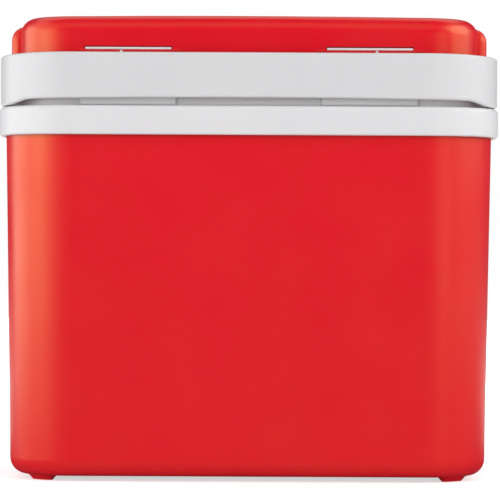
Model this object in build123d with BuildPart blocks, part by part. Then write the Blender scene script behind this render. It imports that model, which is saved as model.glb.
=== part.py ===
"""Passive cool box with a snap lid and a swinging carry handle, as separate moulded pieces."""

import os
from math import cos, radians, sin

from build123d import *

os.makedirs("parts", exist_ok=True)

# All sizes are in millimetres. X runs across the front, the front faces -Y, Z is up from the floor.

# Outer body shell
BODY_WIDTH = 390.0
BODY_DEPTH = 260.0
BODY_CORNER = 55.0
BODY_HEIGHT = 270.2
BODY_DRAFT = 0.95
BODY_BOTTOM_ROUND = 13.0
SHELL_WALL = 2.2

# Four feet moulded under the corners of the shell, each an arc that follows the corner
FOOT_HEIGHT = 3.8
FOOT_RADIUS = 33.0
FOOT_WIDTH = 6.0
FOOT_SWEEP = 25.0
FOOT_TAPER = 42.0

# Collar that caps the shell
COLLAR_OVERHANG = 5.0
COLLAR_HEIGHT = 23.0
COLLAR_WALL = 2.5
COLLAR_TOP_ROUND = 3.6
COLLAR_LOWER_ROUND = 1.6
COLLAR_LIP = 2.5
SKIRT_WALL = 2.0
SKIRT_HEIGHT = 12.0

# Neck of the collar, which carries the lid
NECK_HEIGHT = 34.5
NECK_WALL = 2.5
NECK_FLANGE = 3.6
NECK_TOP_ROUND = 0.8

# Lid, whose outline the neck shares, set in from the body's ends and faces
LID_END_INSET = 11.6
LID_FACE_INSET = 13.0
LID_CORNER = 42.0
LID_HEIGHT = 37.4
LID_CROWN = 1.4
LID_TOP_ROUND = 12.8
LID_WALL = 2.5
LID_SEAT_GAP = 0.6
WING_REACH = 7.8
WING_DROP = 5.6
WING_CORNER = 7.0
WING_TOP_ROUND = 11.0
PANEL_INSET = 30.0
PANEL_DEPTH = 1.2
PANEL_CORNER = 24.0
PANEL_SLOPE = 55.0

# Insulated inside: mouth of the liner, its walls and the plug under the lid
MOUTH_INSET = 14.0
MOUTH_CORNER = 30.0
LINER_WALL = 2.0
LINER_DRAFT = 1.2
LINER_FLOOR = 28.0
LINER_BOTTOM_ROUND = 14.0
RIM_WIDTH = 7.0
RIM_THICKNESS = 2.0
PLUG_CLEARANCE = 2.2
PLUG_DEPTH = 15.0
PLUG_DRAFT = 4.0
PLUG_WALL = 2.0
PLUG_FLOOR_ROUND = 5.0
PANEL_FLANGE = 2.0
FLANGE_LIFT = 0.3

# Round bars in the lid's windows, and the tabs that hold them
BAR_RADIUS = 1.5
BAR_HEIGHT = 8.9
BAR_PROUD = 0.5
BAR_END = 7.0
WINDOW_END_INSET = 87.75
WINDOW_WIDTH = 69.5
WINDOW_HEADROOM = 0.75
POCKET_CLEARANCE = 1.5
POCKET_WALL = 2.0
HOOK_SIDE_GAP = 0.75
HOOK_WALL = 1.2
HOOK_MOUTH_UPPER = 25.0
HOOK_MOUTH_LOWER = -65.0
STOP_WIDTH = 2.2
STOP_OFFSET = 5.5
STOP_ANGLE = 5.0
TAB_SHOULDER = 3.5
TAB_THICKNESS = 2.5
TAB_EDGE_ROUND = 1.6
TAB_LEDGE_GAP = 0.6
LATCH_STANDOFF = 0.5
WEB_HEIGHT = 3.4
PEG_RADIUS = 2.5
PEG_END_INSET = 15.25
PEG_HEIGHT = 16.0

# Carry handle: a ribbed channel bent round the front, on a round hub at each end
HANDLE_INSET = 0.8
HANDLE_ARM = 4.2
HANDLE_GRIP = 8.0
HANDLE_SKIN = 2.4
HANDLE_FLANGE = 2.8
HANDLE_EDGE_ROUND = 1.8
HANDLE_CORNER_STEP = 12.2
GRIP_HEIGHT = 36.9
GRIP_LIFT = 4.3
GRIP_ARCH = 1.4
GRIP_ARCH_INSET = 28.0
GRIP_DROP_INSET = 6.2
GRIP_DEPTH = 52.0
HUB_RADIUS = 18.4
ARM_GAP = 0.8
RIB_WALL = 1.8
RIB_COUNT = 12
ARM_RIB_COUNT = 4
HUB_SOLID = 20.0

# Pivot pins
PIN_RADIUS = 5.0
PIN_HEAD_RADIUS = 8.0
PIN_HEAD = 2.0
PIN_DEPTH = 12.0
PIN_CHAMFER = 0.8
BOSS_RADIUS = 9.0
PAD_RADIUS = 13.0

# Clearances
FIT_GAP = 0.05
RUN_GAP = 0.1
SIDE_GAP = 0.3
FILL_GAP = 0.2

# Places that follow from the sizes above
COLLAR_WIDTH = BODY_WIDTH + 2 * COLLAR_OVERHANG
COLLAR_DEPTH = BODY_DEPTH + 2 * COLLAR_OVERHANG
COLLAR_CORNER = BODY_CORNER + COLLAR_OVERHANG
COLLAR_BOTTOM = FOOT_HEIGHT + BODY_HEIGHT
LEDGE = COLLAR_BOTTOM + COLLAR_HEIGHT
LEDGE_UNDER = LEDGE - COLLAR_WALL
NECK_TOP = LEDGE + NECK_HEIGHT
LID_BOTTOM = NECK_TOP + LID_SEAT_GAP
LID_TOP = LID_BOTTOM + LID_HEIGHT
SHELL_TOP = LEDGE_UNDER - FILL_GAP
LID_WIDTH = BODY_WIDTH - 2 * LID_END_INSET
LID_DEPTH = BODY_DEPTH - 2 * LID_FACE_INSET
WING_LENGTH = LID_DEPTH - 2 * LID_CORNER
NECK_END = LID_WIDTH / 2 + WING_REACH
MOUTH_WIDTH = LID_WIDTH - 2 * MOUTH_INSET
MOUTH_DEPTH = LID_DEPTH - 2 * MOUTH_INSET
FLANGE_BOTTOM = NECK_TOP + FLANGE_LIFT
FLANGE_TOP = FLANGE_BOTTOM + PANEL_FLANGE
PLUG_BOTTOM = FLANGE_BOTTOM - PLUG_DEPTH
PLUG_WIDTH = MOUTH_WIDTH - 2 * PLUG_CLEARANCE
PLUG_SPAN = MOUTH_DEPTH - 2 * PLUG_CLEARANCE
PLUG_CORNER = MOUTH_CORNER - PLUG_CLEARANCE
WINDOW_SPACING = LID_WIDTH - 2 * WINDOW_END_INSET
HOOK_WIDTH = WINDOW_WIDTH - 2 * HOOK_SIDE_GAP
TAB_WIDTH = WINDOW_WIDTH + 2 * TAB_SHOULDER
PEG_SPACING = TAB_WIDTH - 2 * PEG_END_INSET
BAR_Y = LID_DEPTH / 2 - BAR_RADIUS + BAR_PROUD
BAR_Z = LID_BOTTOM + BAR_HEIGHT
HOOK_BORE = BAR_RADIUS + RUN_GAP
HOOK_RADIUS = HOOK_BORE + HOOK_WALL
POCKET_TOP = BAR_Z + HOOK_RADIUS + WINDOW_HEADROOM
POCKET_BACK = BAR_Y - HOOK_RADIUS - POCKET_CLEARANCE
HANDLE_HALF = COLLAR_WIDTH / 2 - HANDLE_INSET
HANDLE_REACH = COLLAR_DEPTH / 2 - HANDLE_INSET
ARM_BOTTOM = LEDGE + ARM_GAP
PIVOT_Z = ARM_BOTTOM + HUB_RADIUS
GRIP_BOTTOM = ARM_BOTTOM + GRIP_LIFT
GRIP_TOP = GRIP_BOTTOM + GRIP_HEIGHT
ARM_INSIDE = HANDLE_HALF - HANDLE_ARM
GRIP_INSIDE = HANDLE_REACH - HANDLE_GRIP
HANDLE_CORNER = COLLAR_CORNER - HANDLE_INSET
HANDLE_INNER_CORNER = HANDLE_CORNER - HANDLE_CORNER_STEP
RIB_PITCH = 2 * (ARM_INSIDE - HANDLE_INNER_CORNER) / (RIB_COUNT + 1)
ARM_RIB_PITCH = (GRIP_INSIDE - HUB_SOLID) / (ARM_RIB_COUNT + 1)
FAR = 1000.0


def rounded_block(width, depth, corner, bottom, top):
    """Upright block with rounded corners between two heights."""
    with BuildPart() as block:
        with BuildSketch(Plane.XY.offset(bottom)):
            RectangleRounded(width, depth, corner)
        extrude(amount=top - bottom)
    return block.part


def drafted_block(width, depth, corner, top, bottom, draft, bottom_round):
    """Block that narrows downwards from its top outline, with a rounded bottom edge."""
    looking_down = Plane(origin=(0, 0, top), x_dir=(1, 0, 0), z_dir=(0, 0, -1))
    with BuildPart() as block:
        with BuildSketch(looking_down):
            RectangleRounded(width, depth, corner)
        extrude(amount=top - bottom, taper=draft)
        fillet(block.edges().group_by(Axis.Z)[0], radius=bottom_round)
    return block.part


def lid_plan(inset):
    """Outline of the lid and neck seen from above, drawn in by an inset."""
    with BuildSketch() as plan:
        RectangleRounded(LID_WIDTH - 2 * inset, LID_DEPTH - 2 * inset, LID_CORNER - inset)
        RectangleRounded(2 * (NECK_END - inset), WING_LENGTH - 2 * inset, WING_CORNER - inset)
    return plan.sketch


def neck_block(inset, bottom, top):
    """Block with the lid's outline between two heights."""
    with BuildPart() as block:
        with BuildSketch(Plane.XY.offset(bottom)):
            add(lid_plan(inset))
        extrude(amount=top - bottom)
    return block.part


def crowned_block(width, depth, corner, bottom, top):
    """Upright block with rounded corners and a top that is a little higher along its middle."""
    crown_radius = (width**2 / 4 + LID_CROWN**2) / (2 * LID_CROWN)
    with BuildPart() as block:
        add(rounded_block(width, depth, corner, bottom, top))
        with Locations((0, 0, top - crown_radius)):
            Cylinder(crown_radius, 2 * depth, rotation=(90, 0, 0), mode=Mode.INTERSECT)
    return block.part


def domed_block(width, depth, corner, bottom, top, top_round):
    """Crowned block with a rounded top edge."""
    with BuildPart() as block:
        add(crowned_block(width, depth, corner, bottom, top))
        fillet(block.faces().sort_by(Axis.Z)[-1].edges(), radius=top_round)
    return block.part


def lid_form(inset, roof, bottom):
    """Solid form of the lid, drawn in by an inset at its sides and by a roof thickness on top."""
    with BuildPart() as form:
        add(
            domed_block(
                LID_WIDTH - 2 * inset,
                LID_DEPTH - 2 * inset,
                LID_CORNER - inset,
                bottom,
                LID_TOP - roof,
                LID_TOP_ROUND - inset,
            )
        )
        add(
            domed_block(
                2 * (NECK_END - inset),
                WING_LENGTH - 2 * inset,
                WING_CORNER - inset,
                bottom,
                LID_TOP - WING_DROP - inset,
                WING_TOP_ROUND - inset,
            )
        )
    return form.part


def end_plane(side, distance):
    """Plane across the pivots at one end of the box, facing outwards: side is -1 left or 1 right."""
    return Plane(origin=(side * distance, 0, PIVOT_Z), x_dir=(0, 1, 0), z_dir=(side, 0, 0))


def window_boxes(grow, back, bottom, top):
    """Four boxes over the lid's windows, from a depth behind the bars to beyond the lid's face."""
    reach = LID_DEPTH / 2 + grow - back
    with BuildPart() as boxes:
        for side in (-1, 1):
            for face in (-1, 1):
                middle = (
                    side * WINDOW_SPACING / 2,
                    face * (back + reach / 2),
                    (bottom + top) / 2,
                )
                with Locations(middle):
                    Box(WINDOW_WIDTH + 2 * grow, reach, top - bottom)
    return boxes.part


def tab_pegs(side, radius):
    """Two pegs through the back wall of the neck behind one tab: side is -1 left or 1 right."""
    with BuildPart() as pegs:
        with BuildSketch(Plane(origin=(0, LID_DEPTH / 2, 0), x_dir=(1, 0, 0), z_dir=(0, -1, 0))):
            for end in (-1, 1):
                peg_x = side * WINDOW_SPACING / 2 + end * PEG_SPACING / 2
                with Locations((peg_x, LEDGE + PEG_HEIGHT)):
                    Circle(radius)
        extrude(amount=NECK_WALL)
    return pegs.part


# Outer shell: drafted tub with four moulded feet
with BuildPart() as outer_shell:
    add(
        drafted_block(
            BODY_WIDTH,
            BODY_DEPTH,
            BODY_CORNER,
            SHELL_TOP,
            FOOT_HEIGHT,
            BODY_DRAFT,
            BODY_BOTTOM_ROUND,
        )
    )
    foot_centre_x = BODY_WIDTH / 2 - BODY_CORNER
    foot_centre_y = BODY_DEPTH / 2 - BODY_CORNER
    for corner in (0, 1, 2, 3):
        across = 1 if corner in (0, 3) else -1
        along = 1 if corner in (0, 1) else -1
        start_angle = 45 + 90 * corner - FOOT_SWEEP / 2
        with BuildSketch(Plane.XY):
            with Locations((across * foot_centre_x, along * foot_centre_y)):
                SlotArc(CenterArc((0, 0), FOOT_RADIUS, start_angle, FOOT_SWEEP), FOOT_WIDTH)
        extrude(amount=FOOT_HEIGHT + SHELL_WALL / 2, taper=-FOOT_TAPER)
    add(
        drafted_block(
            BODY_WIDTH - 2 * SHELL_WALL,
            BODY_DEPTH - 2 * SHELL_WALL,
            BODY_CORNER - SHELL_WALL,
            SHELL_TOP,
            FOOT_HEIGHT + SHELL_WALL,
            BODY_DRAFT,
            BODY_BOTTOM_ROUND - SHELL_WALL,
        ),
        mode=Mode.SUBTRACT,
    )

# Inner liner: drafted tub hung from a rim that lies in the collar
with BuildPart() as inner_liner:
    add(
        drafted_block(
            MOUTH_WIDTH + 2 * LINER_WALL,
            MOUTH_DEPTH + 2 * LINER_WALL,
            MOUTH_CORNER + LINER_WALL,
            NECK_TOP,
            LINER_FLOOR - LINER_WALL,
            LINER_DRAFT,
            LINER_BOTTOM_ROUND + LINER_WALL,
        )
    )
    add(
        rounded_block(
            MOUTH_WIDTH + 2 * RIM_WIDTH,
            MOUTH_DEPTH + 2 * RIM_WIDTH,
            MOUTH_CORNER + RIM_WIDTH,
            NECK_TOP - RIM_THICKNESS,
            NECK_TOP,
        )
    )
    add(
        drafted_block(
            MOUTH_WIDTH,
            MOUTH_DEPTH,
            MOUTH_CORNER,
            NECK_TOP,
            LINER_FLOOR,
            LINER_DRAFT,
            LINER_BOTTOM_ROUND,
        ),
        mode=Mode.SUBTRACT,
    )

# Collar: band, ledge and neck in one moulding, with a groove that takes the shell's rim
with BuildPart() as collar:
    add(rounded_block(COLLAR_WIDTH, COLLAR_DEPTH, COLLAR_CORNER, COLLAR_BOTTOM, LEDGE))
    fillet(collar.edges().group_by(Axis.Z)[-1], radius=COLLAR_TOP_ROUND)
    fillet(collar.edges().group_by(Axis.Z)[0], radius=COLLAR_LOWER_ROUND)
    add(neck_block(0, LEDGE_UNDER, NECK_TOP))
    fillet(collar.edges().group_by(Axis.Z)[-1], radius=NECK_TOP_ROUND)
    add(
        rounded_block(
            COLLAR_WIDTH - 2 * COLLAR_WALL,
            COLLAR_DEPTH - 2 * COLLAR_WALL,
            COLLAR_CORNER - COLLAR_WALL,
            COLLAR_BOTTOM + COLLAR_LIP,
            LEDGE_UNDER,
        ),
        mode=Mode.SUBTRACT,
    )
    add(
        rounded_block(
            BODY_WIDTH + 2 * SIDE_GAP,
            BODY_DEPTH + 2 * SIDE_GAP,
            BODY_CORNER + SIDE_GAP,
            COLLAR_BOTTOM - COLLAR_LIP,
            COLLAR_BOTTOM + COLLAR_LIP,
        ),
        mode=Mode.SUBTRACT,
    )
    skirt_inset = SHELL_WALL + 2 * SIDE_GAP
    add(
        rounded_block(
            BODY_WIDTH - 2 * skirt_inset,
            BODY_DEPTH - 2 * skirt_inset,
            BODY_CORNER - skirt_inset,
            LEDGE_UNDER - SKIRT_HEIGHT,
            LEDGE_UNDER,
        )
    )
    core_inset = skirt_inset + SKIRT_WALL
    add(
        rounded_block(
            BODY_WIDTH - 2 * core_inset,
            BODY_DEPTH - 2 * core_inset,
            BODY_CORNER - core_inset,
            LEDGE_UNDER - SKIRT_HEIGHT,
            LEDGE_UNDER,
        ),
        mode=Mode.SUBTRACT,
    )
    add(neck_block(NECK_WALL, LEDGE_UNDER - SKIRT_HEIGHT, NECK_TOP - NECK_FLANGE), mode=Mode.SUBTRACT)
    add(
        rounded_block(
            MOUTH_WIDTH + 2 * (RIM_WIDTH + FILL_GAP),
            MOUTH_DEPTH + 2 * (RIM_WIDTH + FILL_GAP),
            MOUTH_CORNER + RIM_WIDTH + FILL_GAP,
            NECK_TOP - RIM_THICKNESS,
            NECK_TOP,
        ),
        mode=Mode.SUBTRACT,
    )
    add(
        rounded_block(
            MOUTH_WIDTH + 2 * (LINER_WALL + FILL_GAP),
            MOUTH_DEPTH + 2 * (LINER_WALL + FILL_GAP),
            MOUTH_CORNER + LINER_WALL + FILL_GAP,
            NECK_TOP - 2 * NECK_FLANGE,
            NECK_TOP,
        ),
        mode=Mode.SUBTRACT,
    )
    # Pads and bosses for the handle's pivots
    for side in (-1, 1):
        neck_middle = NECK_END - NECK_WALL / 2
        with BuildSketch(end_plane(side, neck_middle)):
            Circle(PAD_RADIUS)
        extrude(amount=ARM_INSIDE - SIDE_GAP - neck_middle)
        with BuildSketch(end_plane(side, neck_middle)):
            Circle(BOSS_RADIUS)
        extrude(amount=-(PIN_DEPTH + NECK_WALL))
        with BuildSketch(end_plane(side, neck_middle)):
            Circle(PIN_RADIUS + FIT_GAP)
        extrude(amount=2 * PIN_DEPTH, both=True, mode=Mode.SUBTRACT)
    # Holes for the pegs of the hinge tabs
    for side in (-1, 1):
        add(tab_pegs(side, PEG_RADIUS + FIT_GAP), mode=Mode.SUBTRACT)

# Foam between the shell, the liner and the collar
with BuildPart() as body_foam:
    add(
        drafted_block(
            BODY_WIDTH - 2 * (SHELL_WALL + FILL_GAP),
            BODY_DEPTH - 2 * (SHELL_WALL + FILL_GAP),
            BODY_CORNER - SHELL_WALL - FILL_GAP,
            SHELL_TOP,
            FOOT_HEIGHT + SHELL_WALL + FILL_GAP,
            BODY_DRAFT,
            BODY_BOTTOM_ROUND - SHELL_WALL,
        )
    )
    add(
        rounded_block(FAR, FAR, BODY_CORNER, LEDGE_UNDER - SKIRT_HEIGHT - FILL_GAP, FAR),
        mode=Mode.SUBTRACT,
    )
    add(
        neck_block(
            NECK_WALL + FILL_GAP, LEDGE_UNDER - SKIRT_HEIGHT - FILL_GAP, NECK_TOP - NECK_FLANGE - FILL_GAP
        )
    )
    add(
        drafted_block(
            MOUTH_WIDTH + 2 * (LINER_WALL + FILL_GAP),
            MOUTH_DEPTH + 2 * (LINER_WALL + FILL_GAP),
            MOUTH_CORNER + LINER_WALL + FILL_GAP,
            NECK_TOP,
            LINER_FLOOR - LINER_WALL - FILL_GAP,
            LINER_DRAFT,
            LINER_BOTTOM_ROUND + LINER_WALL,
        ),
        mode=Mode.SUBTRACT,
    )
    for side in (-1, 1):
        with BuildSketch(end_plane(side, NECK_END)):
            Circle(BOSS_RADIUS + FILL_GAP)
        extrude(amount=-(PIN_DEPTH + 2 * NECK_WALL), mode=Mode.SUBTRACT)

# Shallow recess in the top of the lid, whose floor follows the crown
with BuildPart() as panel_recess:
    with BuildSketch(Plane(origin=(0, 0, LID_TOP), x_dir=(1, 0, 0), z_dir=(0, 0, -1))):
        RectangleRounded(LID_WIDTH - 2 * PANEL_INSET, LID_DEPTH - 2 * PANEL_INSET, PANEL_CORNER)
    extrude(amount=PANEL_DEPTH + LID_CROWN, taper=PANEL_SLOPE)
    add(
        crowned_block(LID_WIDTH, LID_DEPTH, LID_CORNER, LID_BOTTOM, LID_TOP - PANEL_DEPTH),
        mode=Mode.SUBTRACT,
    )

# Lid cover: domed shell with a recessed top panel, four windows and a round bar across each
with BuildPart() as lid_cover:
    add(lid_form(0, 0, LID_BOTTOM))
    add(panel_recess.part, mode=Mode.SUBTRACT)
    add(
        lid_form(LID_WALL, LID_WALL + PANEL_DEPTH, LID_BOTTOM - LID_WALL),
        mode=Mode.SUBTRACT,
    )
    pocket_frames = window_boxes(
        POCKET_WALL, POCKET_BACK - POCKET_WALL, LID_BOTTOM, POCKET_TOP + POCKET_WALL
    )
    add(pocket_frames & lid_form(0, 0, LID_BOTTOM))
    add(
        window_boxes(0, POCKET_BACK, LID_BOTTOM - LID_WALL, POCKET_TOP),
        mode=Mode.SUBTRACT,
    )
    for side in (-1, 1):
        for face in (-1, 1):
            bar_start = side * WINDOW_SPACING / 2 - WINDOW_WIDTH / 2 - BAR_END
            with BuildSketch(Plane.YZ.offset(bar_start)):
                with Locations((face * BAR_Y, BAR_Z)):
                    Circle(BAR_RADIUS)
            extrude(amount=WINDOW_WIDTH + 2 * BAR_END)

# Lid panel: flange and plug that close the mouth of the liner
with BuildPart() as lid_liner:
    add(neck_block(LID_WALL + SIDE_GAP, FLANGE_BOTTOM, FLANGE_TOP))
    add(
        window_boxes(
            POCKET_WALL + SIDE_GAP,
            POCKET_BACK - POCKET_WALL - SIDE_GAP,
            FLANGE_BOTTOM - PANEL_FLANGE,
            FLANGE_TOP + PANEL_FLANGE,
        ),
        mode=Mode.SUBTRACT,
    )
    add(
        drafted_block(
            PLUG_WIDTH, PLUG_SPAN, PLUG_CORNER, FLANGE_TOP, PLUG_BOTTOM, PLUG_DRAFT, PLUG_FLOOR_ROUND
        )
    )
    add(
        drafted_block(
            PLUG_WIDTH - 2 * PLUG_WALL,
            PLUG_SPAN - 2 * PLUG_WALL,
            PLUG_CORNER - PLUG_WALL,
            FLANGE_TOP,
            PLUG_BOTTOM + PLUG_WALL,
            PLUG_DRAFT,
            PLUG_FLOOR_ROUND - PLUG_WALL,
        ),
        mode=Mode.SUBTRACT,
    )

# Foam inside the lid
with BuildPart() as lid_foam:
    add(lid_form(LID_WALL + FILL_GAP, LID_WALL + PANEL_DEPTH + FILL_GAP, FLANGE_TOP + FILL_GAP))
    add(
        window_boxes(
            POCKET_WALL + FILL_GAP,
            POCKET_BACK - POCKET_WALL - FILL_GAP,
            FLANGE_BOTTOM,
            POCKET_TOP + POCKET_WALL + FILL_GAP,
        ),
        mode=Mode.SUBTRACT,
    )
    add(
        drafted_block(
            PLUG_WIDTH - 2 * (PLUG_WALL + FILL_GAP),
            PLUG_SPAN - 2 * (PLUG_WALL + FILL_GAP),
            PLUG_CORNER - PLUG_WALL - FILL_GAP,
            FLANGE_TOP + PANEL_FLANGE,
            PLUG_BOTTOM + PLUG_WALL + FILL_GAP,
            PLUG_DRAFT,
            PLUG_FLOOR_ROUND - PLUG_WALL,
        )
    )


def hook_ring(face, offset, width, low, high):
    """Piece of the ring round a lid bar, left open between two angles above the outward level."""
    reach = 2 * HOOK_RADIUS
    middle = (low + high) / 2
    with BuildPart() as ring:
        with BuildSketch(Plane.YZ.offset(offset - width / 2)):
            with Locations((face * BAR_Y, BAR_Z)):
                Circle(HOOK_RADIUS)
                Circle(HOOK_BORE, mode=Mode.SUBTRACT)
                Polygon(
                    (0, 0),
                    (face * reach * cos(radians(high)), reach * sin(radians(high))),
                    (face * reach * cos(radians(middle)), reach * sin(radians(middle))),
                    (face * reach * cos(radians(low)), reach * sin(radians(low))),
                    align=None,
                    mode=Mode.SUBTRACT,
                )
        extrude(amount=width)
    return ring.part


def hook_tab(side, face, standoff):
    """Tab with a hook round a lid bar: side is -1 left or 1 right, face is -1 front or 1 rear."""
    middle = side * WINDOW_SPACING / 2
    plate_in = LID_DEPTH / 2 + standoff
    plate_out = plate_in + TAB_THICKNESS
    plate_top = NECK_TOP - TAB_LEDGE_GAP
    plate_bottom = LEDGE + TAB_LEDGE_GAP
    stem_bottom = (plate_bottom + plate_top) / 2
    web_top = BAR_Z - (HOOK_BORE + HOOK_RADIUS) / 2
    web_length = plate_out - BAR_Y + HOOK_WALL / 2
    with BuildPart() as tab:
        with Locations((middle, face * (plate_in + plate_out) / 2, (plate_bottom + plate_top) / 2)):
            Box(TAB_WIDTH, TAB_THICKNESS, plate_top - plate_bottom)
        outside = tab.faces().sort_by(Axis.Y)[-1 if face > 0 else 0]
        fillet(outside.edges(), radius=TAB_EDGE_ROUND)
        with Locations((middle, face * (plate_in + plate_out) / 2, (stem_bottom + web_top) / 2)):
            Box(HOOK_WIDTH, TAB_THICKNESS, web_top - stem_bottom)
        with Locations((middle, face * (plate_out - web_length / 2), web_top - WEB_HEIGHT / 2)):
            Box(HOOK_WIDTH, web_length, WEB_HEIGHT)
        add(hook_ring(face, middle, HOOK_WIDTH, HOOK_MOUTH_LOWER, HOOK_MOUTH_UPPER))
        add(hook_ring(face, middle + side * STOP_OFFSET, STOP_WIDTH, STOP_ANGLE, HOOK_MOUTH_UPPER))
    return tab.part


# Latch tabs snapped on the lid's front bars
with BuildPart() as latch_tab_left:
    add(hook_tab(-1, -1, LATCH_STANDOFF))
with BuildPart() as latch_tab_right:
    add(hook_tab(1, -1, LATCH_STANDOFF))

# Hinge tabs pegged to the back of the neck
with BuildPart() as hinge_tab_left:
    add(hook_tab(-1, 1, 0))
    add(tab_pegs(-1, PEG_RADIUS))
with BuildPart() as hinge_tab_right:
    add(hook_tab(1, 1, 0))
    add(tab_pegs(1, PEG_RADIUS))


def handle_side(inset):
    """Side view of the handle as a prism across the box, drawn in by an inset."""
    front = -(HANDLE_REACH + 2 * HANDLE_SKIN)
    slope = (GRIP_TOP - PIVOT_Z - HUB_RADIUS) / HANDLE_REACH
    radius = HUB_RADIUS - inset
    front_top = PIVOT_Z + radius - slope * front
    with BuildPart() as prism:
        with BuildSketch(Plane.YZ.offset(-COLLAR_WIDTH)):
            with BuildLine():
                Polyline(
                    (0, PIVOT_Z + radius),
                    (front, front_top),
                    (front, PIVOT_Z - radius),
                    (0, PIVOT_Z - radius),
                )
                ThreePointArc((0, PIVOT_Z - radius), (radius, PIVOT_Z), (0, PIVOT_Z + radius))
            make_face()
        extrude(amount=2 * COLLAR_WIDTH)
    return prism.part


def grip_gap(inset):
    """Space under the arched grip, which runs down to the arms at both ends, raised by an inset."""
    arch_end = HANDLE_HALF - GRIP_ARCH_INSET
    drop_end = HANDLE_HALF - GRIP_DROP_INSET
    low = ARM_BOTTOM + inset
    high = GRIP_BOTTOM + inset
    floor = LEDGE - NECK_HEIGHT
    with BuildPart() as space:
        with BuildSketch(Plane.XZ.offset(HANDLE_REACH - GRIP_DEPTH)):
            with BuildLine():
                arch = ThreePointArc((-arch_end, high), (0, high + GRIP_ARCH), (arch_end, high))
                Spline((arch_end, high), (drop_end, low), tangents=[arch % 1, (1, 0)])
                Polyline((drop_end, low), (drop_end, floor), (-drop_end, floor), (-drop_end, low))
                Spline((-drop_end, low), (-arch_end, high), tangents=[(1, 0), arch % 0])
            make_face()
        extrude(amount=2 * GRIP_DEPTH)
    return space.part


def handle_band(skin):
    """Upright band round the box in the handle's plan, drawn in from outside by a skin."""
    with BuildPart() as band:
        with BuildSketch(Plane.XY.offset(LEDGE)):
            RectangleRounded(2 * (HANDLE_HALF - skin), 2 * (HANDLE_REACH - skin), HANDLE_CORNER - skin)
            RectangleRounded(2 * ARM_INSIDE, 2 * GRIP_INSIDE, HANDLE_INNER_CORNER, mode=Mode.SUBTRACT)
        extrude(amount=LID_TOP - LEDGE)
    return band.part


def on_handle_outside(edge):
    """Whether an edge runs along the handle's outer face, leaving out the upright seams in it."""
    for share in (0.0, 0.5, 1.0):
        point = edge.position_at(share)
        past_x = abs(point.X) - (HANDLE_HALF - HANDLE_CORNER)
        past_y = -point.Y - (HANDLE_REACH - HANDLE_CORNER)
        if past_x > 0 and past_y > 0:
            inside = HANDLE_CORNER - (past_x**2 + past_y**2) ** 0.5
        else:
            inside = HANDLE_CORNER - max(past_x, past_y)
        if abs(inside) > RUN_GAP:
            return False
    at_hub = edge.center().Y > 0
    return at_hub or abs(edge.tangent_at(0.5).Z) < 0.9


# Channel cut into the inside of the handle, with ribs left standing across it
with BuildPart() as channel:
    add(handle_band(HANDLE_SKIN))
    add(handle_side(HANDLE_FLANGE), mode=Mode.INTERSECT)
    add(grip_gap(HANDLE_FLANGE), mode=Mode.SUBTRACT)
    with Locations((0, FAR / 2 - HUB_SOLID, PIVOT_Z)):
        Box(FAR, FAR, FAR, mode=Mode.SUBTRACT)
    with Locations((0, -HANDLE_REACH, PIVOT_Z)):
        with GridLocations(RIB_PITCH, 1, RIB_COUNT, 1):
            Box(RIB_WALL, 4 * HANDLE_GRIP, FAR, mode=Mode.SUBTRACT)
    with Locations((0, -HUB_SOLID - ARM_RIB_PITCH * (ARM_RIB_COUNT + 1) / 2, PIVOT_Z)):
        with GridLocations(1, ARM_RIB_PITCH, 1, ARM_RIB_COUNT):
            Box(FAR, RIB_WALL, FAR, mode=Mode.SUBTRACT)

# Carry handle
with BuildPart() as carry_handle:
    add(handle_band(0))
    add(handle_side(0), mode=Mode.INTERSECT)
    add(grip_gap(0), mode=Mode.SUBTRACT)
    fillet([edge for edge in carry_handle.edges() if on_handle_outside(edge)], radius=HANDLE_EDGE_ROUND)
    add(channel.part, mode=Mode.SUBTRACT)
    for side in (-1, 1):
        with BuildSketch(end_plane(side, HANDLE_HALF)):
            Circle(PIN_RADIUS + RUN_GAP)
        extrude(amount=-2 * HANDLE_ARM, mode=Mode.SUBTRACT)
        with BuildSketch(end_plane(side, HANDLE_HALF)):
            Circle(PIN_HEAD_RADIUS + SIDE_GAP)
        extrude(amount=-(PIN_HEAD + SIDE_GAP), mode=Mode.SUBTRACT)


def pivot_pin(side):
    """Headed pin through one arm of the handle into the collar's boss."""
    with BuildPart() as pin:
        with BuildSketch(end_plane(side, HANDLE_HALF)):
            Circle(PIN_HEAD_RADIUS)
        extrude(amount=-PIN_HEAD)
        with BuildSketch(end_plane(side, HANDLE_HALF)):
            Circle(PIN_RADIUS)
        extrude(amount=-(HANDLE_HALF - NECK_END + PIN_DEPTH))
        ends = pin.edges().sort_by(Axis.X)
        chamfer(ends[0] if side > 0 else ends[-1], length=PIN_CHAMFER)
    return pin.part


with BuildPart() as pivot_pin_left:
    add(pivot_pin(-1))
with BuildPart() as pivot_pin_right:
    add(pivot_pin(1))

pieces = {
    "outer_shell": outer_shell,
    "inner_liner": inner_liner,
    "collar": collar,
    "body_foam": body_foam,
    "lid_cover": lid_cover,
    "lid_liner": lid_liner,
    "lid_foam": lid_foam,
    "latch_tab_left": latch_tab_left,
    "latch_tab_right": latch_tab_right,
    "hinge_tab_left": hinge_tab_left,
    "hinge_tab_right": hinge_tab_right,
    "carry_handle": carry_handle,
    "pivot_pin_left": pivot_pin_left,
    "pivot_pin_right": pivot_pin_right,
}
for piece_name, piece in pieces.items():
    piece.part.label = piece_name
    export_step(piece.part, f"parts/{piece_name}.step")
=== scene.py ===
"""Dresses the carry cool box: moulded plastic finishes, fine moulding marks and a plain white studio."""

import logging
import math
from dataclasses import dataclass
from enum import Enum

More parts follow.
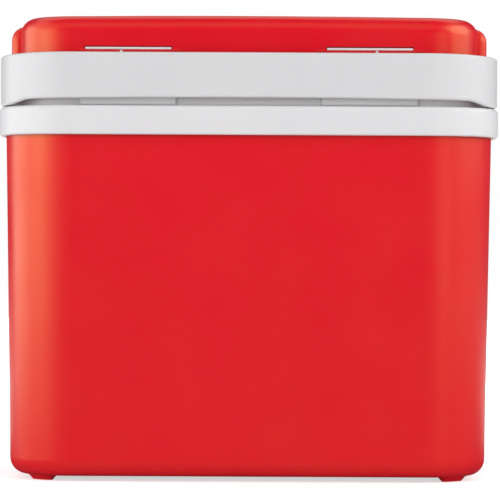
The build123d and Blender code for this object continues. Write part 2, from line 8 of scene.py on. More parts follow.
import bmesh
import bpy
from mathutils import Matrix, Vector


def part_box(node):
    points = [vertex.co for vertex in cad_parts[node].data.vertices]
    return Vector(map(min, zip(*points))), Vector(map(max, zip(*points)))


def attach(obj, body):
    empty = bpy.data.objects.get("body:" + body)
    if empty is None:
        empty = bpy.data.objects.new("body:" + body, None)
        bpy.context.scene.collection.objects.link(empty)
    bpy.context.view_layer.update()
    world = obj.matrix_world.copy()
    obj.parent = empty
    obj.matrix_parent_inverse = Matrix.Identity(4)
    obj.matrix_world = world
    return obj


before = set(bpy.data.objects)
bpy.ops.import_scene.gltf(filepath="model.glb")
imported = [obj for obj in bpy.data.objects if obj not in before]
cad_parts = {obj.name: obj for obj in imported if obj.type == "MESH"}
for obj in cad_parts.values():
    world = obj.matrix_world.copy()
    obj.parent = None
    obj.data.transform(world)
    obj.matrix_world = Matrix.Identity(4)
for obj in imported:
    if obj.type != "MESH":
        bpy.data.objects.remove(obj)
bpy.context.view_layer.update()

LOG = logging.getLogger("cool_box")
Colour = tuple[float, float, float]
Point = tuple[float, float, float]
FloorPoint = tuple[float, float]
Corners = tuple[Point, Point, Point, Point]
Material = bpy.types.Material
Socket = bpy.types.NodeSocket
WHITE = (1.0, 1.0, 1.0, 1.0)
# Most of a cloudy pattern's values lie between these two.
CLOUD_START, CLOUD_END = 0.3, 0.7
# A Mix node has one set of sockets for each kind of value. These are the ones for colours.
MIX_SHARE, MIX_FIRST, MIX_SECOND, MIX_RESULT = 0, 6, 7, 2
# Points of a turned shape that lie closer than this are one point.
MERGE_DISTANCE = 1e-6


class BodyName(Enum):
    """Moving bodies that carry the added marks."""

    BOX = "box"
    LID = "lid"


class SlotName(Enum):
    """Finishes of the record that match those of the added marks; nothing in the script reads these names."""

    RED_BODY = "red_body"
    WHITE_LINER = "white_liner"


@dataclass(frozen=True)
class Pattern:
    """Cloudy pattern: repeats in one metre, number of finer layers, and factors along the three axes."""

    scale: float
    detail: float
    stretch: Point = (1.0, 1.0, 1.0)


@dataclass
class Wiring:
    """Adds nodes to one shader tree and joins them."""

    tree: bpy.types.NodeTree

    def add(self, kind: str, **settings: object) -> bpy.types.Node:
        """Adds one node.

        Args:
            kind: The node's type name.
            settings: Properties of the node and their values.

        Returns:
            The new node.
        """
        node = self.tree.nodes.new(kind)
        for name, value in settings.items():
            setattr(node, name, value)
        return node

    def join(self, source: Socket, target: Socket) -> None:
        """Joins an output to an input."""
        self.tree.links.new(source, target)

    def place(self) -> Socket:
        """Gives the coordinates of the piece itself."""
        return self.add("ShaderNodeTexCoord").outputs["Object"]

    def noise(self, place: Socket, pattern: Pattern) -> Socket:
        """Adds a cloudy pattern.

        Args:
            place: Coordinates that the pattern reads.
            pattern: Its scale, detail and stretch.

        Returns:
            The pattern's value, from 0 to 1.
        """
        mapping = self.add("ShaderNodeMapping")
        mapping.inputs["Scale"].default_value = pattern.stretch
        self.join(place, mapping.inputs["Vector"])
        texture = self.add("ShaderNodeTexNoise")
        texture.inputs["Scale"].default_value = pattern.scale
        texture.inputs["Detail"].default_value = pattern.detail
        self.join(mapping.outputs["Vector"], texture.inputs["Vector"])
        return texture.outputs["Fac"]

    def span(
        self, value: Socket, low: float, high: float, start: float = CLOUD_START, end: float = CLOUD_END
    ) -> Socket:
        """Spreads part of a value's range over another range.

        Args:
            value: The value that is read.
            low: Result at the start.
            high: Result at the end.
            start: Value that gives the low result.
            end: Value that gives the high result.

        Returns:
            The spread value.
        """
        spread = self.add("ShaderNodeMapRange", clamp=True)
        spread.inputs["From Min"].default_value = start
        spread.inputs["From Max"].default_value = end
        spread.inputs["To Min"].default_value = low
        spread.inputs["To Max"].default_value = high
        self.join(value, spread.inputs["Value"])
        return spread.outputs["Result"]

    def mix(self, share: Socket, first: Colour | Socket, second: Colour | Socket) -> Socket:
        """Mixes two colours.

        Args:
            share: Share of the second colour.
            first: A colour, or an output that gives one.
            second: A colour, or an output that gives one.

        Returns:
            The mixed colour.
        """
        blend = self.add("ShaderNodeMix", data_type="RGBA")
        self.join(share, blend.inputs[MIX_SHARE])
        for socket, colour in ((blend.inputs[MIX_FIRST], first), (blend.inputs[MIX_SECOND], second)):
            if isinstance(colour, tuple):
                socket.default_value = (*colour, 1.0)
            else:
                self.join(colour, socket)
        return blend.outputs[MIX_RESULT]

    def maths(self, operation: str, first: Socket, second: float | Socket) -> Socket:
        """Works out one sum.

        Args:
            operation: Name of the sum.
            first: Its first value.
            second: Its second value, a number or an output.

        Returns:
            The result.
        """
        node = self.add("ShaderNodeMath", operation=operation)
        self.join(first, node.inputs[0])
        if isinstance(second, float):
            node.inputs[1].default_value = second
        else:
            self.join(second, node.inputs[1])
        return node.outputs[0]

    def bump(self, height: Socket, depth: float, normal: Socket | None = None) -> Socket:
        """Bends the surface normal over a relief.

        Args:
            height: Height of the relief, from 0 to 1.
            depth: Metres that a height of 1 stands for.
            normal: Normal that is bent, where it isn't the surface's own.

        Returns:
            The bent normal.
        """
        relief = self.add("ShaderNodeBump")
        relief.inputs["Strength"].default_value = 1.0
        relief.inputs["Distance"].default_value = depth
        self.join(height, relief.inputs["Height"])
        if normal is not None:
            self.join(normal, relief.inputs["Normal"])
        return relief.outputs["Normal"]

    def seen_rays(self) -> Socket:
        """Tells the rays that show a backdrop from those that light the object.

        Returns:
            1 for camera, glossy and transmitted rays, and 0 for the others.
        """
        path = self.add("ShaderNodeLightPath")
        seen = self.maths("MAXIMUM", path.outputs["Is Camera Ray"], path.outputs["Is Glossy Ray"])
        return self.maths("MAXIMUM", seen, path.outputs["Is Transmission Ray"])


def new_material(name: str) -> tuple[Material, Wiring, bpy.types.Node]:
    """Starts a material.

    Args:
        name: The finish's name.

    Returns:
        The material, its wiring and its surface shader.
    """
    material = bpy.data.materials.new(name)
    material.use_nodes = True
    material.node_tree.nodes.clear()
    wiring = Wiring(material.node_tree)
    shader = wiring.add("ShaderNodeBsdfPrincipled")
    output = wiring.add("ShaderNodeOutputMaterial")
    wiring.join(shader.outputs["BSDF"], output.inputs["Surface"])
    return material, wiring, shader


@dataclass(frozen=True)
class MouldedPlastic:
    """Satin moulded plastic: fine sparked grain, faint flow clouds and softly rounded, rubbed edges.

    Lengths are in metres. A turn is the cosine between the surface's own normal and that of its rounded edge:
    an edge is rubbed most at the sharp turn and not at all at the slight one. Painted shade darkens a crease
    that is no more open than the tight one, fades as a crease opens, and leaves out what is below the
    shade-free height.
    """

    name: str
    base: Colour
    cloud: Colour
    rubbed: Colour
    roughness: float
    roughness_spread: float = 0.05
    specular: float = 0.5
    specular_tint: Colour = (1.0, 1.0, 1.0)
    refraction: float = 1.49
    grain_size: float = 0.0004
    grain_depth: float = 0.00002
    grain_detail: float = 2.0
    waviness: float = 0.0
    edge_round: float = 0.0005
    edge_samples: int = 4
    sharp_turn: float = 0.86
    slight_turn: float = 0.995
    least_scuff: float = 0.05
    most_scuff: float = 0.5
    scuff_start: float = 0.4
    scuff_end: float = 0.65
    translucency: float = 0.0
    glow_reach: Colour = (1.0, 0.9, 0.8)
    glow_depth: float = 0.0015
    # Colour of the shade painted into tight creases: painted shade, not dirt.
    crease_shade_colour: Colour = (0.3, 0.0, 0.01)
    painted_shade_share: float = 0.0
    tight_crease: float = 0.5
    crease_reach: float = 0.0035
    crease_samples: int = 8
    shade_free_height: float = 0.02
    cloud_share: float = 0.65
    flow_share: float = 0.35
    clouds: Pattern = Pattern(7.0, 3.0, (1.0, 1.0, 0.6))
    flow: Pattern = Pattern(40.0, 2.0, (1.0, 1.0, 0.15))
    smears: Pattern = Pattern(22.0, 4.0)
    scuffs: Pattern = Pattern(180.0, 3.0)
    waves: Pattern = Pattern(13.0, 1.0)

    def material(self) -> Material:
        """Builds the finish.

        Returns:
            The material.
        """
        material, wiring, shader = new_material(self.name)
        place = wiring.place()
        rounded = wiring.add("ShaderNodeBevel", samples=self.edge_samples)
        rounded.inputs["Radius"].default_value = self.edge_round
        edge_normal = rounded.outputs["Normal"]
        wiring.join(self.colour(wiring, place, edge_normal), shader.inputs["Base Color"])
        low = self.roughness - self.roughness_spread
        high = self.roughness + self.roughness_spread
        wiring.join(wiring.span(wiring.noise(place, self.smears), low, high), shader.inputs["Roughness"])
        wiring.join(self.relief(wiring, place, edge_normal), shader.inputs["Normal"])
        shader.inputs["IOR"].default_value = self.refraction
        shader.inputs["Specular IOR Level"].default_value = self.specular
        shader.inputs["Specular Tint"].default_value = (*self.specular_tint, 1.0)
        if self.translucency > 0.0:
            shader.inputs["Subsurface Weight"].default_value = self.translucency
            shader.inputs["Subsurface Radius"].default_value = self.glow_reach
            shader.inputs["Subsurface Scale"].default_value = self.glow_depth
        return material

    def colour(self, wiring: Wiring, place: Socket, edge_normal: Socket) -> Socket:
        """Mixes the base with the clouds, the rubbed edges and the painted shade in the creases.

        Args:
            wiring: The material's wiring.
            place: Coordinates of the patterns.
            edge_normal: Normal of the rounded surface.

        Returns:
            The colour.
        """
        clouds = wiring.span(wiring.noise(place, self.clouds), 0.0, self.cloud_share)
        flow = wiring.span(wiring.noise(place, self.flow), 0.0, self.flow_share)
        clouded = wiring.mix(wiring.maths("ADD", clouds, flow), self.base, self.cloud)
        colour = wiring.mix(self.rubbed_share(wiring, place, edge_normal), clouded, self.rubbed)
        # Painted shade: tight creases take the dark crease colour in place of the shade that falls there.
        if self.painted_shade_share > 0.0:
            colour = wiring.mix(self.painted_shade_mask(wiring, place), colour, self.crease_shade_colour)
        return colour

    def rubbed_share(self, wiring: Wiring, place: Socket, edge_normal: Socket) -> Socket:
        """Finds the edges that hands and floors rub.

        Args:
            wiring: The material's wiring.
            place: Coordinates for the broken pattern of the rubbing.
            edge_normal: Normal of the rounded surface.

        Returns:
            Share of rubbed colour.
        """
        plain = wiring.add("ShaderNodeNewGeometry").outputs["Normal"]
        turn = wiring.add("ShaderNodeVectorMath", operation="DOT_PRODUCT")
        wiring.join(plain, turn.inputs[0])
        wiring.join(edge_normal, turn.inputs[1])
        edges = wiring.span(turn.outputs["Value"], 1.0, 0.0, self.sharp_turn, self.slight_turn)
        pattern = wiring.noise(place, self.scuffs)
        broken = wiring.span(pattern, self.least_scuff, self.most_scuff, self.scuff_start, self.scuff_end)
        return wiring.maths("MULTIPLY", edges, broken)

    def painted_shade_mask(self, wiring: Wiring, place: Socket) -> Socket:
        """Finds the tight creases between pieces, above the feet, where shade is painted into the colour.

        Args:
            wiring: The material's wiring.
            place: Coordinates, of which the height is read.

        Returns:
            Share of the painted shade's colour.
        """
        openness = wiring.add("ShaderNodeAmbientOcclusion", samples=self.crease_samples)
        openness.inputs["Distance"].default_value = self.crease_reach
        tight = wiring.span(openness.outputs["AO"], self.painted_shade_share, 0.0, self.tight_crease, 1.0)
        height = wiring.add("ShaderNodeSeparateXYZ")
        wiring.join(place, height.inputs["Vector"])
        above = wiring.span(height.outputs["Z"], 0.0, 1.0, self.shade_free_height, 2 * self.shade_free_height)
        return wiring.maths("MULTIPLY", tight, above)

    def relief(self, wiring: Wiring, place: Socket, edge_normal: Socket) -> Socket:
        """Adds the moulded grain and the slow waves of a foam-filled wall.

        Args:
            wiring: The material's wiring.
            place: Coordinates of the patterns.
            edge_normal: Normal of the rounded surface.

        Returns:
            The surface normal.
        """
        grain = wiring.noise(place, Pattern(1.0 / self.grain_size, self.grain_detail))
        normal = wiring.bump(grain, self.grain_depth, edge_normal)
        if self.waviness > 0.0:
            normal = wiring.bump(wiring.noise(place, self.waves), self.waviness, normal)
        return normal


@dataclass(frozen=True)
class BeadFoam:
    """Moulded foam whose swollen beads show on the surface."""

    name: str
    base: Colour
    seam: Colour
    bead_size: float = 0.004
    bead_depth: float = 0.0004
    seam_width: float = 0.18
    least_roughness: float = 0.72
    most_roughness: float = 0.86
    smears: Pattern = Pattern(60.0, 2.0)

    def material(self) -> Material:
        """Builds the finish.

        Returns:
            The material.
        """
        material, wiring, shader = new_material(self.name)
        place = wiring.place()
        beads = wiring.add("ShaderNodeTexVoronoi", feature="DISTANCE_TO_EDGE")
        beads.inputs["Scale"].default_value = 1.0 / self.bead_size
        wiring.join(place, beads.inputs["Vector"])
        rise = wiring.span(beads.outputs["Distance"], 0.0, 1.0, 0.0, self.seam_width)
        wiring.join(wiring.mix(rise, self.seam, self.base), shader.inputs["Base Color"])
        smears = wiring.span(wiring.noise(place, self.smears), self.least_roughness, self.most_roughness)
        wiring.join(smears, shader.inputs["Roughness"])
        wiring.join(wiring.bump(rise, self.bead_depth), shader.inputs["Normal"])
        return material


@dataclass(frozen=True)
class StudioPaper:
    """Plain white studio paper that stays white in the picture and still takes a shadow.

    It is lifted a little everywhere, and more from the near distance to the far one.
    """

    name: str
    base: Colour
    fibre: Colour
    near_lift: float
    far_lift: float
    near: float = 0.35
    far: float = 1.6
    roughness: float = 0.9
    specular: float = 0.1
    fibres: Pattern = Pattern(35.0, 5.0)

    def material(self) -> Material:
        """Builds the finish, which grows whiter away from the object.

        Returns:
            The material.
        """
        material, wiring, shader = new_material(self.name)
        place = wiring.place()
        fibres = wiring.span(wiring.noise(place, self.fibres), 0.0, 1.0)
        wiring.join(wiring.mix(fibres, self.base, self.fibre), shader.inputs["Base Color"])
        shader.inputs["Roughness"].default_value = self.roughness
        shader.inputs["Specular IOR Level"].default_value = self.specular
        shader.inputs["Emission Color"].default_value = WHITE
        away = wiring.add("ShaderNodeVectorMath", operation="LENGTH")
        wiring.join(place, away.inputs[0])
        lift = wiring.span(away.outputs["Value"], 0.0, self.far_lift, self.near, self.far)
        backdrop = wiring.maths("MULTIPLY", lift, wiring.seen_rays())
        camera = wiring.add("ShaderNodeLightPath").outputs["Is Camera Ray"]
        close = wiring.maths("MULTIPLY", camera, self.near_lift)
        wiring.join(wiring.maths("ADD", backdrop, close), shader.inputs["Emission Strength"])
        return material


@dataclass(frozen=True)
class StudioCloth:
    """Softly lit cloth that stands outside the picture and that the object mirrors; its glow is painted light
    on top of the lamps' light.
    """

    name: str
    base: Colour
    fold: Colour
    glow: float
    roughness: float = 0.95
    specular: float = 0.05
    folds: Pattern = Pattern(6.0, 2.0, (1.0, 1.0, 0.1))

    def material(self) -> Material:
        """Builds the finish.

        Returns:
            The material.
        """
        material, wiring, shader = new_material(self.name)
        folds = wiring.span(wiring.noise(wiring.place(), self.folds), 0.0, 1.0)
        wiring.join(wiring.mix(folds, self.base, self.fold), shader.inputs["Base Color"])
        shader.inputs["Roughness"].default_value = self.roughness
        shader.inputs["Specular IOR Level"].default_value = self.specular
        shader.inputs["Emission Color"].default_value = WHITE
        shader.inputs["Emission Strength"].default_value = self.glow
        return material


def paint(node: str, material: Material) -> None:
    """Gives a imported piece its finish.

    Args:
        node: Name of the piece.
        material: The finish.
    """
    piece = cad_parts[node]
    piece.data.materials.clear()
    piece.data.materials.append(material)
    LOG.info("dressed %s in %s", node, material.name)


def add_piece(name: str, mesh: bpy.types.Mesh, body: BodyName) -> None:
    """Adds a piece that moves with a body.

    Args:
        name: The piece's name.
        mesh: Its mesh, in place.
        body: The body that carries it.
    """
    piece = bpy.data.objects.new(name, mesh)
    bpy.context.scene.collection.objects.link(piece)
    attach(piece, body.value)
    LOG.info("built %s with %d faces", name, len(mesh.polygons))


@dataclass
class MarkField:
    """Rows of round marks that ejector pins leave on a moulded face."""

    name: str
    centre: Point
    columns: int
    rows: int
    width: float
    depth: float
    radius: float
    height: float
    taper: float = 0.94
    sides: int = 32

    def tree(self) -> bpy.types.GeometryNodeTree:
        """Builds the node tree that sets a low round mark on each crossing of a grid.

        Returns:
            The tree, with named inputs for every size.
        """
        tree = bpy.data.node_groups.new(f"{self.name}_tree", "GeometryNodeTree")
        tree.interface.new_socket("Geometry", in_out="OUTPUT", socket_type="NodeSocketGeometry")
        sockets = (
            ("Columns", "NodeSocketInt"),
            ("Rows", "NodeSocketInt"),
            ("Sides", "NodeSocketInt"),
            ("Width", "NodeSocketFloat"),
            ("Depth", "NodeSocketFloat"),
            ("Radius", "NodeSocketFloat"),
            ("Taper", "NodeSocketFloat"),
            ("Height", "NodeSocketFloat"),
            ("Centre", "NodeSocketVector"),
            ("Finish", "NodeSocketMaterial"),
        )
        for label, kind in sockets:
            tree.interface.new_socket(label, in_out="INPUT", socket_type=kind)
        given = tree.nodes.new("NodeGroupInput").outputs
        grid = tree.nodes.new("GeometryNodeMeshGrid")
        mark = tree.nodes.new("GeometryNodeMeshCone")
        inner = tree.nodes.new("ShaderNodeMath")
        placed = tree.nodes.new("GeometryNodeInstanceOnPoints")
        moved = tree.nodes.new("GeometryNodeTransform")
        real = tree.nodes.new("GeometryNodeRealizeInstances")
        finish = tree.nodes.new("GeometryNodeSetMaterial")
        result = tree.nodes.new("NodeGroupOutput")
        inner.operation = "MULTIPLY"
        links = (
            (given["Width"], grid.inputs["Size X"]),
            (given["Depth"], grid.inputs["Size Y"]),
            (given["Columns"], grid.inputs["Vertices X"]),
            (given["Rows"], grid.inputs["Vertices Y"]),
            (given["Sides"], mark.inputs["Vertices"]),
            (given["Radius"], mark.inputs["Radius Top"]),
            (given["Radius"], inner.inputs[0]),
            (given["Taper"], inner.inputs[1]),
            (inner.outputs[0], mark.inputs["Radius Bottom"]),
            (given["Height"], mark.inputs["Depth"]),
            (grid.outputs["Mesh"], placed.inputs["Points"]),
            (mark.outputs["Mesh"], placed.inputs["Instance"]),
            (placed.outputs["Instances"], moved.inputs["Geometry"]),
            (given["Centre"], moved.inputs["Translation"]),
            (moved.outputs["Geometry"], real.inputs["Geometry"]),
            (real.outputs["Geometry"], finish.inputs["Geometry"]),
            (given["Finish"], finish.inputs["Material"]),
            (finish.outputs["Geometry"], result.inputs["Geometry"]),
        )
        for source, target in links:
            tree.links.new(source, target)
        return tree

    def mesh(self, material: Material) -> bpy.types.Mesh:
        """Runs the tree and keeps its result as a plain mesh.

        Args:
            material: The finish of the marks.

        Returns:
            The mesh, in place.
        """
        carrier = bpy.data.objects.new(f"{self.name}_carrier", bpy.data.meshes.new(f"{self.name}_carrier"))
        bpy.context.scene.collection.objects.link(carrier)
        modifier = carrier.modifiers.new("marks", "NODES")
        tree = self.tree()
        modifier.node_group = tree
        values = {
            "Columns": self.columns,
            "Rows": self.rows,
            "Sides": self.sides,
            "Width": self.width,
            "Depth": self.depth,
            "Radius": self.radius,
            "Taper": self.taper,
            "Height": self.height,
            "Centre": self.centre,
            "Finish": material,
        }
        for socket in tree.interface.items_tree:
            if socket.in_out == "INPUT":
                modifier[socket.identifier] = values[socket.name]
        graph = bpy.context.evaluated_depsgraph_get()
        mesh = bpy.data.meshes.new_from_object(carrier.evaluated_get(graph))
        mesh.name = self.name
        carrier.modifiers.clear()
        bpy.data.objects.remove(carrier)
        return mesh


@dataclass
class Tub:
    """Red drafted shell on its feet, with the white liner and the foam between them."""

    foot_height: float = 0.0038
    nub_radius: float = 0.0018
    nub_rise: float = 0.0011
    nub_bevel: float = 0.7
    gate_radius: float = 0.009
    gate_rise: float = 0.0005
    ring_foot: float = 0.8
    ring_inside: float = 0.86
    ring_outside: float = 0.96
    rim_sink: float = 0.0002
    steps: int = 48

    def build(self, material: Material) -> None:
        """Turns the round mark that the moulding gate leaves under the floor: a nub in a low ring.

        Args:
            material: The shell's finish.
        """
        low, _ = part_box("outer_shell")
        floor = low.z + self.foot_height
        profile = (
            (0.0, floor - self.nub_rise),
            (self.nub_radius * self.nub_bevel, floor - self.nub_rise),
            (self.nub_radius, floor - self.nub_rise * self.nub_bevel),
            (self.nub_radius, floor),
            (self.gate_radius * self.ring_foot, floor),
            (self.gate_radius * self.ring_inside, floor - self.gate_rise),
            (self.gate_radius * self.ring_outside, floor - self.gate_rise),
            (self.gate_radius, floor + self.rim_sink),
        )
        shape = bmesh.new()
        points = [shape.verts.new((radius, 0.0, height)) for radius, height in profile]
        edges = [shape.edges.new(pair) for pair in zip(points, points[1:])]
        bmesh.ops.spin(
            shape,
            geom=[*points, *edges],
            cent=(0.0, 0.0, 0.0),
            axis=(0.0, 0.0, 1.0),
            angle=2 * math.pi,
            steps=self.steps,
        )
        bmesh.ops.remove_doubles(shape, verts=shape.verts, dist=MERGE_DISTANCE)
        bmesh.ops.recalc_face_normals(shape, faces=shape.faces)
        mesh = bpy.data.meshes.new("gate_mark")
        shape.to_mesh(mesh)
        shape.free()
        mesh.materials.append(material)
        mesh.shade_smooth()
        add_piece("gate_mark", mesh, BodyName.BOX)

    def dress(self, shell: Material, liner: Material, foam: Material) -> None:
        """Gives the tub's pieces their finishes.

        Args:
            shell: Finish of the shell.
            liner: Finish of the liner.
            foam: Finish of the foam.
        """
        paint("outer_shell", shell)
        paint("inner_liner", liner)
        paint("body_foam", foam)


@dataclass
class Collar:
    """White band and neck, with the hinge tabs and pivot pins that stay with it."""

    tabs: tuple[str, ...] = ("hinge_tab_left", "hinge_tab_right")
    pins: tuple[str, ...] = ("pivot_pin_left", "pivot_pin_right")

    def dress(self, trim: Material, tab: Material) -> None:
        """Gives the collar, its tabs and its pins their finishes.

        Args:
            trim: Finish of the collar.
            tab: Finish of the small moulded parts.
        """
        paint("collar", trim)
        for node in (*self.tabs, *self.pins):
            paint(node, tab)


@dataclass
class Lid:
    """Red domed lid with its white panel, foam and latch tabs."""

    tabs: tuple[str, ...] = ("latch_tab_left", "latch_tab_right")
    mark_columns: int = 4
    mark_rows: int = 2
    mark_radius: float = 0.0042
    mark_height: float = 0.0005
    mark_rise: float = 0.00015
    mark_inset: float = 0.032
    flange_ends: float = 0.044
    flange_faces: float = 0.028

    def build(self, panel: Material) -> None:
        """Sets the ejector marks on the underside of the panel.

        Args:
            panel: The panel's finish.
        """
        low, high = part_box("lid_liner")
        middle = (low + high) / 2
        plug_width = high.x - low.x - self.flange_ends
        plug_depth = high.y - low.y - self.flange_faces
        marks = MarkField(
            name="panel_marks",
            centre=(middle.x, middle.y, low.z - self.mark_rise + self.mark_height / 2),
            columns=self.mark_columns,
            rows=self.mark_rows,
            width=plug_width - 2 * self.mark_inset,
            depth=plug_depth - 2 * self.mark_inset,
            radius=self.mark_radius,
            height=self.mark_height,
        )
        add_piece("panel_marks", marks.mesh(panel), BodyName.LID)

    def dress(self, cover: Material, panel: Material, foam: Material, tab: Material) -> None:
        """Gives the lid's pieces their finishes.

        Args:
            cover: Finish of the domed cover.
            panel: Finish of the panel under it.
            foam: Finish of the foam.
            tab: Finish of the latch tabs.
        """
        paint("lid_cover", cover)
        paint("lid_liner", panel)
        paint("lid_foam", foam)
        for node in self.tabs:
            paint(node, tab)


@dataclass
class Handle:
    """White ribbed carry handle."""

    node: str = "carry_handle"

    def dress(self, material: Material) -> None:
        """Gives the handle its finish."""
        paint(self.node, material)


@dataclass(frozen=True)
class SoftBox:
    """Large soft lamp that points at a height on the object's middle line.

    A lamp that isn't mirrored lights the object and doesn't show in its gloss.
    """

    name: str
    place: Point
    aim: float
    size: tuple[float, float]
    power: float
    mirrored: bool = True

    def hang(self) -> None:
        """Hangs the lamp."""
        lamp = bpy.data.lights.new(self.name, "AREA")
        lamp.shape = "RECTANGLE"
        lamp.size, lamp.size_y = self.size
        lamp.energy = self.power
        holder = bpy.data.objects.new(self.name, lamp)
        bpy.context.scene.collection.objects.link(holder)
        holder.location = self.place
        towards = Vector((0.0, 0.0, self.aim)) - Vector(self.place)
        holder.rotation_euler = towards.to_track_quat("-Z", "Y").to_euler()
        holder.visible_camera = False
        holder.visible_glossy = self.mirrored
        LOG.info("hung %s", self.name)


def standing(start: FloorPoint, end: FloorPoint, height: float) -> Corners:
    """Gives the corners of a sheet that stands on the floor.

    Args:
        start: Where its lower edge starts.
        end: Where its lower edge ends.
        height: Its height.

    Returns:
        The corners in order.
    """
    return (*start, 0.0), (*end, 0.0), (*end, height), (*start, height)


def level(low: FloorPoint, high: FloorPoint, height: float) -> Corners:
    """Gives the corners of a level sheet.

    Args:
        low: Its front left corner.
        high: Its back right corner.
        height: Its height above the floor.

    Returns:
        The corners in order.
    """
    return (*low, height), (high[0], low[1], height), (*high, height), (low[0], high[1], height)


def lay_sheet(name: str, corners: Corners, material: Material) -> bpy.types.Object:
    """Adds one flat sheet of the studio.

    Args:
        name: The sheet's name.
        corners: Its four corners in order.
        material: Its finish.

    Returns:
        The sheet.
    """
    mesh = bpy.data.meshes.new(name)
    mesh.from_pydata(corners, [], [(0, 1, 2, 3)])
    mesh.materials.append(material)
    flat = bpy.data.objects.new(name, mesh)
    bpy.context.scene.collection.objects.link(flat)
    return flat


@dataclass(frozen=True)
class Cloth:
    """Cloth on a frame outside the picture, which the object mirrors and the camera doesn't see.

    A cloth that doesn't shade only shows in the gloss, and leaves the other light as it is.
    """

    name: str
    corners: Corners
    shades: bool = True

    def hang(self, material: Material) -> None:
        """Hangs the cloth.

        Args:
            material: Its finish.
        """
        sheet = lay_sheet(self.name, self.corners, material)
        sheet.visible_camera = False
        sheet.visible_shadow = self.shades
        sheet.visible_diffuse = self.shades


@dataclass
class Studio:
    """White paper floor, soft lamps, cloths that the object mirrors, and the camera straight in front."""

    floor_size: float = 12.0
    ambient: float = 0.40
    backdrop: float = 1.0
    eye_height: float = 0.1835
    eye_distance: float = 2.7
    eye_offset: float = 0.0014
    lens: float = 235.1
    sensor_width: float = 36.0
    roll: float = math.radians(0.28)
    lamps: tuple[SoftBox, ...] = (
        SoftBox(
            "left_front_box",
            place=(-1.15, -1.8, 0.34),
            aim=0.25,
            size=(1.0, 0.8),
            power=9.9,
            mirrored=False,
        ),
        SoftBox(
            "right_front_box",
            place=(1.15, -1.8, 0.34),
            aim=0.25,
            size=(1.0, 0.8),
            power=10.3,
            mirrored=False,
        ),
        SoftBox(
            "high_front_box",
            place=(0.0, -1.1, 1.7),
            aim=0.3,
            size=(1.4, 1.0),
            power=8.2,
            mirrored=False,
        ),
        SoftBox("left_box", place=(-1.45, 0.2, 0.5), aim=0.22, size=(1.1, 1.0), power=4.9),
        SoftBox("left_fill_box", place=(-1.5, -0.85, 0.5), aim=0.25, size=(0.8, 0.8), power=3.7),
        SoftBox("right_box", place=(1.4, -0.2, 0.95), aim=0.3, size=(1.4, 1.1), power=11.5),
        SoftBox(
            "back_box",
            place=(0.0, 1.9, 0.9),
            aim=0.2,
            size=(1.6, 1.0),
            power=11.0,
            mirrored=False,
        ),
    )
    dark_cloths: tuple[Cloth, ...] = (
        Cloth("front_cloth", standing((2.2, -3.2), (-2.2, -3.2), height=2.6)),
        Cloth("roof_cloth", level((-1.6, -3.2), (1.6, 0.6), height=2.6)),
        Cloth("floor_mat", level((-1.2, -3.2), (1.2, 0.3), height=0.001), shades=False),
        Cloth("left_back_cloth", standing((-1.9, 1.1), (-0.6, 6.0), height=2.6), shades=False),
        Cloth("right_back_cloth", standing((0.6, 6.0), (1.75, 0.9), height=2.6), shades=False),
        Cloth("back_cloth", standing((-3.0, 6.0), (3.0, 6.0), height=5.0), shades=False),
    )
    right_cloth: Cloth = Cloth("right_cloth", standing((1.8, 0.9), (1.8, -2.2), height=2.6))

    def build(self, paper: Material, dark: Material, pale: Material) -> None:
        """Lays the floor, hangs the cloths and the lamps, lights the world and sets the camera.

        Args:
            paper: The floor's finish.
            dark: Finish of the cloths in front, above, below and behind.
            pale: Finish of the cloth on the right.
        """
        half = self.floor_size / 2
        lay_sheet("floor", level((-half, -half), (half, half), height=0.0), paper)
        for cloth in self.dark_cloths:
            cloth.hang(dark)
        self.right_cloth.hang(pale)
        self.light_world()
        for lamp in self.lamps:
            lamp.hang()
        self.place_camera()

    def light_world(self) -> None:
        """Makes the surroundings white to look at and softly lit."""
        world = bpy.data.worlds.new("studio")
        world.use_nodes = True
        world.node_tree.nodes.clear()
        wiring = Wiring(world.node_tree)
        mixed = wiring.add("ShaderNodeMixShader")
        wiring.join(wiring.seen_rays(), mixed.inputs["Fac"])
        for strength, target in ((self.ambient, mixed.inputs[1]), (self.backdrop, mixed.inputs[2])):
            white = wiring.add("ShaderNodeBackground")
            white.inputs["Color"].default_value = WHITE
            white.inputs["Strength"].default_value = strength
            wiring.join(white.outputs["Background"], target)
        output = wiring.add("ShaderNodeOutputWorld")
        wiring.join(mixed.outputs["Shader"], output.inputs["Surface"])
        bpy.context.scene.world = world

    def place_camera(self) -> None:
        """Sets the camera level in front of the box, with the picture's small turn."""
        lens = bpy.data.cameras.new("camera")
        lens.sensor_width = self.sensor_width
        lens.lens = self.lens
        camera = bpy.data.objects.new("camera", lens)
        bpy.context.scene.collection.objects.link(camera)
        camera.location = (self.eye_offset, -self.eye_distance, self.eye_height)
        camera.rotation_euler = (math.pi / 2, -self.roll, 0.0)
        bpy.context.scene.camera = camera


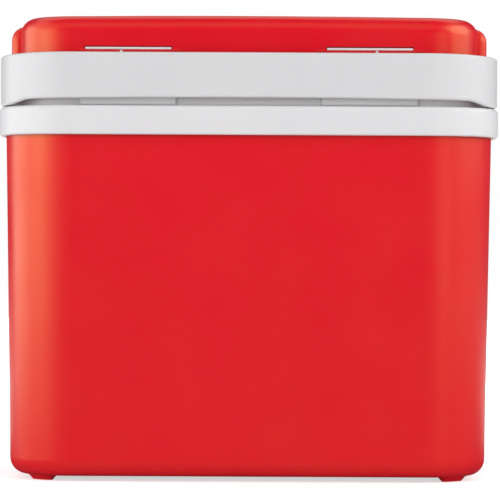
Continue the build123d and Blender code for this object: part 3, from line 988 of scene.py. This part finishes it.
RED_SHELL = MouldedPlastic(
    name="red_shell",
    base=(0.84, 0.003, 0.024),
    cloud=(0.81, 0.002, 0.021),
    rubbed=(0.84, 0.10, 0.09),
    roughness=0.32,
    roughness_spread=0.04,
    specular=1.0,
    specular_tint=(1.0, 0.95, 0.36),
    waviness=0.0004,
    # Shade is painted into the shell's tight creases, such as the band under the collar.
    painted_shade_share=0.65,
)
# The cover is the shell's plastic, painted a shade deeper to stand in for the weaker sheen on the lid's
# front.
RED_COVER = MouldedPlastic(
    name="red_cover",
    base=(0.84, 0.001, 0.022),
    cloud=(0.81, 0.001, 0.019),
    rubbed=(0.84, 0.10, 0.09),
    roughness=0.32,
    roughness_spread=0.04,
    specular=1.0,
    specular_tint=(1.0, 0.95, 0.36),
)
WHITE_TRIM = MouldedPlastic(
    name="white_trim",
    base=(0.80, 0.80, 0.81),
    cloud=(0.775, 0.775, 0.79),
    rubbed=(0.88, 0.88, 0.88),
    roughness=0.38,
    translucency=0.06,
)
WHITE_TAB = MouldedPlastic(
    name="white_tab",
    base=(0.86, 0.86, 0.87),
    cloud=(0.83, 0.83, 0.84),
    rubbed=(0.89, 0.89, 0.89),
    roughness=0.34,
    edge_round=0.0003,
    translucency=0.06,
)
WHITE_HANDLE = MouldedPlastic(
    name="white_handle",
    base=(0.74, 0.74, 0.75),
    cloud=(0.715, 0.715, 0.73),
    rubbed=(0.86, 0.86, 0.86),
    roughness=0.36,
    translucency=0.06,
)
WHITE_LINER = MouldedPlastic(
    name="white_liner",
    base=(0.82, 0.82, 0.82),
    cloud=(0.80, 0.80, 0.805),
    rubbed=(0.86, 0.86, 0.86),
    roughness=0.30,
    roughness_spread=0.015,
    grain_depth=0.000008,
    translucency=0.06,
)
FOAM = BeadFoam(name="bead_foam", base=(0.86, 0.86, 0.84), seam=(0.70, 0.70, 0.68))
PAPER = StudioPaper(
    name="studio_paper",
    base=(0.82, 0.82, 0.82),
    fibre=(0.79, 0.79, 0.79),
    near_lift=0.6,
    far_lift=0.8,
)
DARK_CLOTH = StudioCloth(name="dark_cloth", base=(0.04, 0.04, 0.04), fold=(0.03, 0.03, 0.03), glow=0.03)
PALE_CLOTH = StudioCloth(name="pale_cloth", base=(0.10, 0.10, 0.10), fold=(0.08, 0.08, 0.08), glow=0.15)


def main() -> None:
    """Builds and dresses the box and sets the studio."""
    logging.basicConfig(level=logging.INFO, format="%(name)s: %(message)s")
    bpy.context.scene.view_settings.view_transform = "Standard"
    red_shell = RED_SHELL.material()
    white_tab = WHITE_TAB.material()
    white_liner = WHITE_LINER.material()
    foam = FOAM.material()
    tub = Tub()
    tub.build(red_shell)
    tub.dress(red_shell, white_liner, foam)
    Collar().dress(WHITE_TRIM.material(), white_tab)
    lid = Lid()
    lid.build(white_liner)
    lid.dress(RED_COVER.material(), white_liner, foam, white_tab)
    Handle().dress(WHITE_HANDLE.material())
    Studio().build(PAPER.material(), DARK_CLOTH.material(), PALE_CLOTH.material())


if __name__ == "__main__":
    main()
